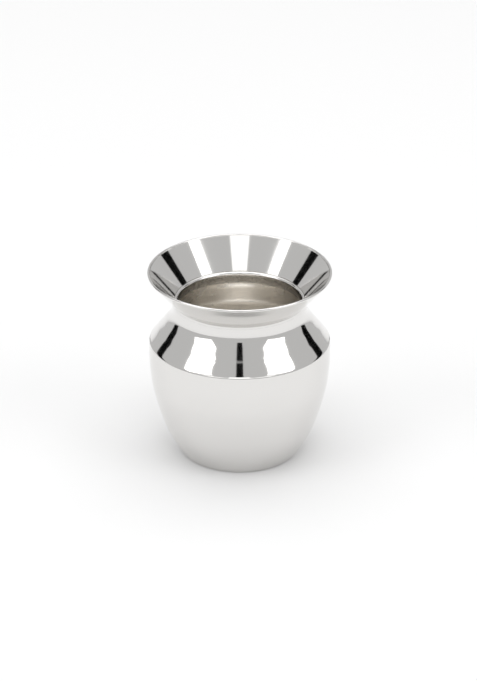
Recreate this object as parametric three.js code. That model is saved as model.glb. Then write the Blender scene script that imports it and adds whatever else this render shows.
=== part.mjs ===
// Small metal kalash: a raised bowl, a shoulder soldered into its mouth,
// a neck sleeve, a flared lip with a wire edge, and a recessed base disc.
// Millimetres, +Z up, origin at the centre of the footprint.
import * as THREE from 'three';

// ---- driving dimensions ----
const SEG = 48;             // facets around every round part
const GAP = 0.02;           // solder gap between neighbouring parts
const WALL = 0.85;          // sheet thickness of bowl and shoulder
const FOOT_IN_R = 19.6;     // bore of the standing ring
const FOOT_OUT_R = 20.8;    // outer edge of the flat standing ring
const BASE_Z0 = 0.8;        // underside of the recessed base disc
const BASE_Z1 = 1.8;        // upper side of the base disc
const LEDGE_Z = 2.6;        // top of the standing ring, inside
const CREASE_Z = 42.3;      // joint between bowl and shoulder
const SPIGOT_R = 31.15;     // straight bore of the bowl's mouth
const SPIGOT_Z0 = 39.5;     // lower end of the shoulder's flange
const SPIGOT_WALL = 0.75;   // thickness of that flange
const NECK_R = 23.8;        // neck, outside
const NECK_BORE_R = 22.95;  // neck, inside
const NECK_Z1 = 57.42;      // top of the shoulder's neck
const SLEEVE_IN_R = 22.0;   // clear mouth radius
const SLEEVE_Z0 = 54.6;
const SLEEVE_Z1 = 58.2;
const RIM_R = 32.05;        // centre circle of the rim wire
const RIM_Z = 68.45;
const WIRE_R = 0.45;        // radius of the rim wire
const WIRE_FLAT = 0.30;     // distance of the wire's flat from its centre
const LIP_HALF = 0.40;      // half the lip's thickness
const LIP_DIR = [0.6486, 0.7611]; // slope of the lip, radius and height

// outer skin of the bowl: [radius, height], above the standing ring
const BOWL_OUT = [
  [21.35, 0.45], [23.56, 3.83], [25.64, 7.70], [27.23, 11.53],
  [28.50, 15.36], [29.64, 19.23], [30.59, 23.06], [31.38, 26.89],
  [31.80, 30.76], [32.10, 34.59], [32.17, 38.43], [32.05, CREASE_Z],
];
// outer skin of the shoulder, above the joint
const SHOULDER_OUT = [
  [32.05, CREASE_Z + GAP], [31.72, 42.86], [29.25, 46.12], [27.70, 48.05],
  [26.28, 49.96], [24.90, 51.90], [24.01, 53.82], [NECK_R, 55.6], [NECK_R, NECK_Z1],
];

// ring or disc turned from a section that closes on itself
function turned(section) {
  const pts = section.map(([r, z]) => new THREE.Vector2(r, z));
  pts.push(pts[0].clone());
  const g = new THREE.LatheGeometry(pts, SEG);
  g.rotateX(Math.PI / 2);
  return outward(g);
}

// faces point outward when the signed volume is positive
function outward(g) {
  const p = g.attributes.position;
  const ix = g.index.array;
  const a = new THREE.Vector3(), b = new THREE.Vector3(), c = new THREE.Vector3();
  let v = 0;
  for (let i = 0; i < ix.length; i += 3) {
    a.fromBufferAttribute(p, ix[i]);
    b.fromBufferAttribute(p, ix[i + 1]);
    c.fromBufferAttribute(p, ix[i + 2]);
    v += a.dot(b.cross(c));
  }
  if (v < 0) {
    for (let i = 0; i < ix.length; i += 3) {
      const t = ix[i + 1];
      ix[i + 1] = ix[i + 2];
      ix[i + 2] = t;
    }
  }
  return g;
}

// inner skin: every point moved inward along the local normal
function inset(line, t) {
  return line.map((q, i) => {
    const a = line[Math.max(0, i - 1)];
    const b = line[Math.min(line.length - 1, i + 1)];
    const dr = b[0] - a[0], dz = b[1] - a[1];
    const n = Math.hypot(dr, dz);
    return [q[0] - t * dz / n, q[1] + t * dr / n];
  });
}

const group = new THREE.Group();
group.name = 'kalash';
function add(name, geometry, color, roughness) {
  const m = new THREE.Mesh(geometry, new THREE.MeshStandardMaterial({ color, metalness: 1, roughness }));
  m.name = name;
  group.add(m);
}

// bowl: standing ring, curved wall, straight bore at the mouth
const bowlIn = inset(BOWL_OUT, WALL).filter(([r, z]) => z > LEDGE_Z + 0.3 && z < 37.6);
add('bowl_body', turned([
  [FOOT_IN_R, 0], [FOOT_OUT_R, 0], ...BOWL_OUT,
  [SPIGOT_R, CREASE_Z], [SPIGOT_R, 38.2],
  ...bowlIn.reverse(), [21.6, LEDGE_Z], [FOOT_IN_R, LEDGE_Z],
]), 0xd8d6d0, 0.18);

// base disc, seated in the standing ring
const baseR = FOOT_IN_R - GAP;
const base = new THREE.LatheGeometry([
  new THREE.Vector2(0, BASE_Z0), new THREE.Vector2(baseR, BASE_Z0),
  new THREE.Vector2(baseR, BASE_Z1), new THREE.Vector2(0, BASE_Z1),
], SEG);
base.rotateX(Math.PI / 2);
add('base_disc', outward(base), 0xd0cec8, 0.3);

// solder fillet between base disc and standing ring
add('base_solder_seam', turned([
  [baseR, BASE_Z1 + GAP], [baseR, BASE_Z1 + 0.7], [baseR - 0.7, BASE_Z1 + GAP],
]), 0xc2c0ba, 0.45);

// shoulder: flange inside the bowl's mouth, stop edge on the bowl, cone, neck
const flangeOut = SPIGOT_R - 0.05;
const flangeIn = flangeOut - SPIGOT_WALL;
add('shoulder_shell', turned([
  [flangeIn, SPIGOT_Z0], [flangeOut, SPIGOT_Z0], [flangeOut, CREASE_Z + GAP],
  ...SHOULDER_OUT,
  [NECK_BORE_R, NECK_Z1], [NECK_BORE_R, 53.6], [23.95, 51.6], [25.58, 49.42],
  [27.02, 47.52], [28.58, 45.60], [flangeIn, 42.9],
]), 0xdad8d2, 0.18);

// solder fillet under the flange
add('shoulder_solder_seam', turned([
  [flangeOut, SPIGOT_Z0 - GAP], [flangeOut, SPIGOT_Z0 - 0.7], [flangeIn, SPIGOT_Z0 - GAP],
]), 0xc2c0ba, 0.45);

// neck sleeve, joining the shoulder's neck and the lip
const sleeveOut = NECK_BORE_R - GAP;
add('neck_ring', turned([
  [SLEEVE_IN_R, SLEEVE_Z0], [sleeveOut, SLEEVE_Z0], [sleeveOut, SLEEVE_Z1 - 0.1],
  [sleeveOut - 0.15, SLEEVE_Z1], [SLEEVE_IN_R + 0.45, SLEEVE_Z1 - 0.1],
  [SLEEVE_IN_R + 0.12, SLEEVE_Z1 - 0.45], [SLEEVE_IN_R, SLEEVE_Z1 - 0.9],
]), 0xdedcd6, 0.15);

// solder fillet under the sleeve
add('neck_solder_seam', turned([
  [sleeveOut, SLEEVE_Z0 - GAP], [sleeveOut, SLEEVE_Z0 - 0.7], [SLEEVE_IN_R + 0.2, SLEEVE_Z0 - GAP],
]), 0xc2c0ba, 0.45);

// flared lip, its foot round the sleeve and on the neck's edge
const [dr, dz] = LIP_DIR;
const endR = RIM_R - (WIRE_FLAT + GAP) * dr, endZ = RIM_Z - (WIRE_FLAT + GAP) * dz;
const inEnd = [endR - LIP_HALF * dz, endZ + LIP_HALF * dr];
const outEnd = [endR + LIP_HALF * dz, endZ - LIP_HALF * dr];
const inFootZ = inEnd[1] - (inEnd[0] - NECK_BORE_R) / dr * dz;
const outFootZ = outEnd[1] - (outEnd[0] - NECK_R) / dr * dz;
add('flared_lip', turned([
  [NECK_BORE_R, NECK_Z1 + GAP], [NECK_R, NECK_Z1 + GAP], [NECK_R, outFootZ],
  outEnd, inEnd, [NECK_BORE_R, inFootZ],
]), 0xdedcd6, 0.15);

// rim wire, flat where it is soldered to the lip's end
const wire = [];
const a0 = Math.atan2(dz, dr);
const half = Math.PI - Math.acos(WIRE_FLAT / WIRE_R);
for (let i = 0; i <= 10; i++) {
  const a = a0 - half + (2 * half * i) / 10;
  wire.push([RIM_R + WIRE_R * Math.cos(a), RIM_Z + WIRE_R * Math.sin(a)]);
}
add('rim_wire', turned(wire), 0xe0ded8, 0.15);

export default group;
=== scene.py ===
import math

import bpy
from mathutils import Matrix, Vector


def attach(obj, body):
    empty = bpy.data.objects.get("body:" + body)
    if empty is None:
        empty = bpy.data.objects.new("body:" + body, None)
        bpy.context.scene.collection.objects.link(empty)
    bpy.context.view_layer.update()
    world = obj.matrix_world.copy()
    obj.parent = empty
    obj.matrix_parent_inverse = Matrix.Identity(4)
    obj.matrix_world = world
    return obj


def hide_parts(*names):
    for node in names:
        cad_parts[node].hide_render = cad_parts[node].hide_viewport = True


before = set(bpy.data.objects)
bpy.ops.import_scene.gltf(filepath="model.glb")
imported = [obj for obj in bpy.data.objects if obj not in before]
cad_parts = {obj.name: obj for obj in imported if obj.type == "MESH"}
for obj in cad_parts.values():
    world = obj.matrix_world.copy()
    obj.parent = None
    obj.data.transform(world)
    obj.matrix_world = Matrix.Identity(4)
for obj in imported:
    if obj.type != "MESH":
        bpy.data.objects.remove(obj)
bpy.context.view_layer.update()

# ---- camera: elevation and distance from the silhouette fit ----
EL = math.radians(25.99)
DIST = 1.1487
LOOK = Vector((-0.000426, 0.0, 0.04172))
cam_data = bpy.data.cameras.new("camera")
cam_data.lens = 171.1
cam_data.sensor_width = 36
cam_data.clip_start = 0.01
cam = bpy.data.objects.new("camera", cam_data)
bpy.context.collection.objects.link(cam)
cam.location = LOOK + Vector((0, -math.cos(EL), math.sin(EL))) * DIST
cam.rotation_euler = (math.pi / 2 - EL, 0, 0)
bpy.context.scene.camera = cam
bpy.context.scene.view_settings.view_transform = "Standard"


# ---- materials ----
def metal(name, color, rough, bump, scale):
    m = bpy.data.materials.new(name)
    m.use_nodes = True
    nt = m.node_tree
    b = nt.nodes["Principled BSDF"]
    b.inputs["Base Color"].default_value = (*color, 1)
    b.inputs["Metallic"].default_value = 1.0
    co = nt.nodes.new("ShaderNodeTexCoord")
    no = nt.nodes.new("ShaderNodeTexNoise")
    no.inputs["Scale"].default_value = scale
    no.inputs["Detail"].default_value = 4
    nt.links.new(co.outputs["Object"], no.inputs["Vector"])
    mr = nt.nodes.new("ShaderNodeMapRange")
    mr.inputs["To Min"].default_value = rough * 0.75
    mr.inputs["To Max"].default_value = rough * 1.3
    nt.links.new(no.outputs["Fac"], mr.inputs["Value"])
    nt.links.new(mr.outputs["Result"], b.inputs["Roughness"])
    # spun rings: fine bands by height
    wv = nt.nodes.new("ShaderNodeTexWave")
    wv.wave_type = "BANDS"
    wv.bands_direction = "Z"
    wv.inputs["Scale"].default_value = 700
    wv.inputs["Distortion"].default_value = 1.5
    nt.links.new(co.outputs["Object"], wv.inputs["Vector"])
    bp = nt.nodes.new("ShaderNodeBump")
    bp.inputs["Strength"].default_value = bump
    bp.inputs["Distance"].default_value = 0.00005
    nt.links.new(wv.outputs["Fac"], bp.inputs["Height"])
    nt.links.new(bp.outputs["Normal"], b.inputs["Normal"])
    return m


MIRROR = metal("mirror_silver", (0.77, 0.76, 0.745), 0.07, 0.01, 60)
INNER = metal("satin_silver", (0.94, 0.905, 0.85), 0.26, 0.35, 90)
SOLDER = metal("solder", (0.62, 0.60, 0.57), 0.45, 0.3, 300)
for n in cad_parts.values():
    n.data.materials.clear()
    n.data.materials.append(SOLDER if "seam" in n.name else MIRROR)


# ---- turned meshes ----
def spline(line, step=0.6):
    """Smooth curve through [radius, height] points, in mm."""
    out = []
    for i in range(len(line) - 1):
        p0, p1 = line[max(i - 1, 0)], line[i]
        p2, p3 = line[i + 1], line[min(i + 2, len(line) - 1)]
        n = max(2, int(math.dist(p1, p2) / step))
        for k in range(n):
            t = k / n
            out.append(tuple(0.5 * (2 * b + (c - a) * t + (2 * a - 5 * b + 4 * c - d) * t * t
                                    + (3 * b - 3 * c + d - a) * t ** 3)
                             for a, b, c, d in zip(p0, p1, p2, p3)))
    out.append(tuple(line[-1]))
    return out


def turned(name, section, inner_from, mats, node, seg=192):
    """Closed section turned round Z. Faces from edge index inner_from on take mats[1]."""
    n = len(section)
    v = [(r * math.cos(2 * math.pi * j / seg) / 1000, r * math.sin(2 * math.pi * j / seg) / 1000, z / 1000)
         for j in range(seg) for r, z in section]
    f, mi = [], []
    for j in range(seg):
        k = (j + 1) % seg
        for i in range(n):
            i2 = (i + 1) % n
            f.append((j * n + i, k * n + i, k * n + i2, j * n + i2))
            mi.append(1 if i >= inner_from else 0)
    me = bpy.data.meshes.new(name)
    me.from_pydata(v, [], f)
    for m in mats:
        me.materials.append(m)
    me.polygons.foreach_set("material_index", mi)
    me.update()
    me.shade_smooth()
    me.set_sharp_from_angle(angle=math.radians(25))
    o = bpy.data.objects.new(name, me)
    bpy.context.collection.objects.link(o)
    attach(o, "root")
    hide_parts(node)
    return o


bowl_out = [(20.8, 0), (21.2, 0.15), (21.45, 0.5), (23.5, 3.83), (25.6, 7.70), (27.23, 11.53), (28.50, 15.36),
            (29.64, 19.23), (30.59, 23.06), (31.38, 26.89), (31.80, 30.76), (32.10, 34.59), (32.17, 38.43), (32.05, 42.3)]
bowl_in = [(31.15, 42.3), (31.2, 38.0), (30.9, 31.0), (30.5, 27.1), (29.7, 23.2), (28.8, 19.5), (27.7, 15.7),
           (26.4, 11.9), (24.8, 8.2), (22.8, 4.4), (21.6, 2.6)]
so, si = spline(bowl_out), spline(bowl_in)
turned("bowl", so + si + [(19.6, 2.6), (19.6, 0)], len(so), [MIRROR, INNER], "bowl_body")

sh_out = [(32.05, 42.32), (31.95, 42.6), (31.6, 43.0), (29.25, 46.12), (27.70, 48.05), (26.28, 49.96),
          (24.90, 51.90), (24.01, 53.82), (23.8, 55.6), (23.8, 57.42)]
sh_in = [(22.95, 57.42), (22.95, 53.8), (23.95, 51.6), (25.58, 49.42), (27.02, 47.52), (28.58, 45.60), (30.35, 42.9), (30.35, 39.5)]
so, si = spline(sh_out), spline(sh_in)
turned("shoulder", so + si + [(31.1, 39.5), (31.1, 42.32)], len(so), [MIRROR, INNER], "shoulder_shell")

lip = [(22.95, 57.44), (23.8, 57.44), (23.8, 58.18), (32.146, 67.947), (31.538, 68.465), (22.95, 58.41)]
lo = [lip[1], *spline([lip[2], lip[3]]), *spline([lip[4], lip[5]]), lip[0]]
turned("lip", lo, 10 ** 6, [MIRROR, MIRROR], "flared_lip")

a0 = math.atan2(0.7611, 0.6486)
half = math.pi - math.acos(0.30 / 0.45)
wire = [(32.05 + 0.45 * math.cos(a0 - half + 2 * half * i / 20), 68.45 + 0.45 * math.sin(a0 - half + 2 * half * i / 20))
        for i in range(21)]
turned("rim", wire, 10 ** 6, [MIRROR, MIRROR], "rim_wire")

bead = [(22.93, 54.6), (22.93, 58.1), *spline([(22.86, 58.17), (22.78, 58.2), (22.45, 58.1), (22.12, 57.75), (22.0, 57.3)], 0.1),
        (22.0, 54.6)]
turned("bead", bead, 10 ** 6, [MIRROR, MIRROR], "neck_ring")

# ---- stage: white floor and soft lights ----
def white(name, value):
    m = bpy.data.materials.new(name)
    m.use_nodes = True
    b = m.node_tree.nodes["Principled BSDF"]
    b.inputs["Base Color"].default_value = (value, value, value, 1)
    b.inputs["Roughness"].default_value = 0.9
    b.inputs["Specular IOR Level"].default_value = 0.0
    return m


def card(name, loc, target, w, h, mat):
    me = bpy.data.meshes.new(name)
    me.from_pydata([(-w / 2, -h / 2, 0), (w / 2, -h / 2, 0), (w / 2, h / 2, 0), (-w / 2, h / 2, 0)], [], [(0, 1, 2, 3)])
    me.materials.append(mat)
    o = bpy.data.objects.new(name, me)
    o.location = loc
    o.rotation_euler = (Vector(target) - Vector(loc)).to_track_quat("Z", "Y").to_euler()
    bpy.context.collection.objects.link(o)
    return o


floor = card("floor", (0, 0, -0.0001), (0, 0, 1), 8, 8, white("floor_white", 0.93))
black = white("card_black", 0.004)
# dark cards that give the bars at the shoulder's sides and the slot at its centre
for name, x, y, z, w, h in (("card_left", -0.59, 0.32, 0.25, 0.13, 0.40),
                            ("card_right", 0.59, 0.32, 0.25, 0.13, 0.40),
                            ("card_low_left", -0.50, 1.0, 0.03, 0.16, 0.06),
                            ("card_low_right", 0.50, 1.0, 0.03, 0.16, 0.06),
                            ("card_lens", 0.0, -0.79, 0.66, 0.13, 0.46)):
    c = card(name, (x, y, z), (0, 0, 0.045), w, h, black)
    c.visible_camera = False
    c.visible_shadow = False
    c.visible_diffuse = False

for name, loc, size, power in (("key", (0.0, 0.2, 1.4), 1.6, 9.5), ("front", (0.0, -0.60, 1.30), 0.45, 0.55), ("left", (-1.1, -0.6, 0.9), 0.8, 3.2),
                               ("right", (1.1, -0.6, 0.9), 0.8, 3.2)):
    d = bpy.data.lights.new(name, "AREA")
    d.size = size
    d.energy = power
    o = bpy.data.objects.new(name, d)
    o.location = loc
    o.rotation_euler = (Vector((0, 0, 0.04)) - Vector(loc)).to_track_quat("-Z", "Y").to_euler()
    bpy.context.collection.objects.link(o)

world = bpy.data.worlds.new("world")
bpy.context.scene.world = world
world.use_nodes = True
world.node_tree.nodes["Background"].inputs["Color"].default_value = (1, 1, 1, 1)
world.node_tree.nodes["Background"].inputs["Strength"].default_value = 0.60
